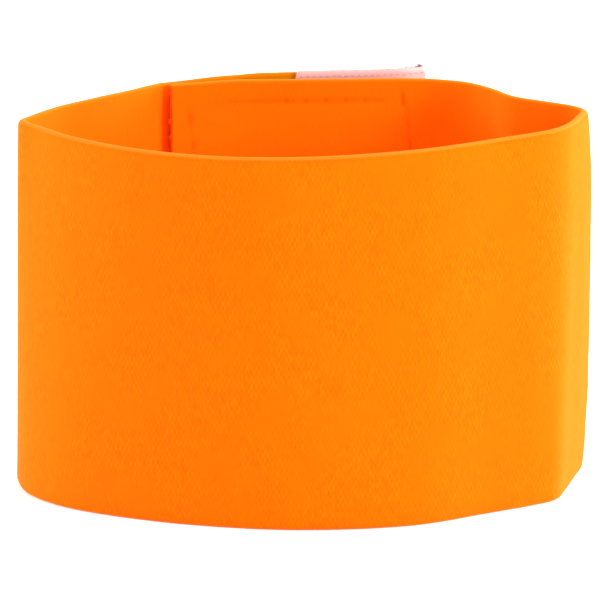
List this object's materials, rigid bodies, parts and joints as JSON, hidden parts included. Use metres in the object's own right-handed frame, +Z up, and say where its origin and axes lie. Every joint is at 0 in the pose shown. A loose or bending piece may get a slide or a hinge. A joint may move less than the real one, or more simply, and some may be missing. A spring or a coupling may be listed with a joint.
{
  "type": "armband",
  "caption": "Wide woven elastic armband standing on its lower edge, open through for an arm and closed at the back with a hook tape pressed onto a loop patch.",
  "frame": {"origin": "middle of the footprint's bounding box, on the surface that the band stands on", "axes": "+X to the right along the wide side of the loop, +Y from the plain front towards the closure at the back, +Z up along the strip's width"},
  "size_m": [0.1064, 0.0679, 0.0709],
  "materials": {
    "woven_elastic": "orange woven elastic webbing with fine upright ribs, matt with a soft sheen",
    "loop_fabric": "orange brushed loop pile",
    "hook_fabric": "pinkish white woven nylon tape covered with small stiff hooks"
  },
  "bodies": {
    "root": {"elastic_band": "woven_elastic", "loop_patch": "loop_fabric", "hook_tape": "hook_fabric"}
  },
  "joints": []
}
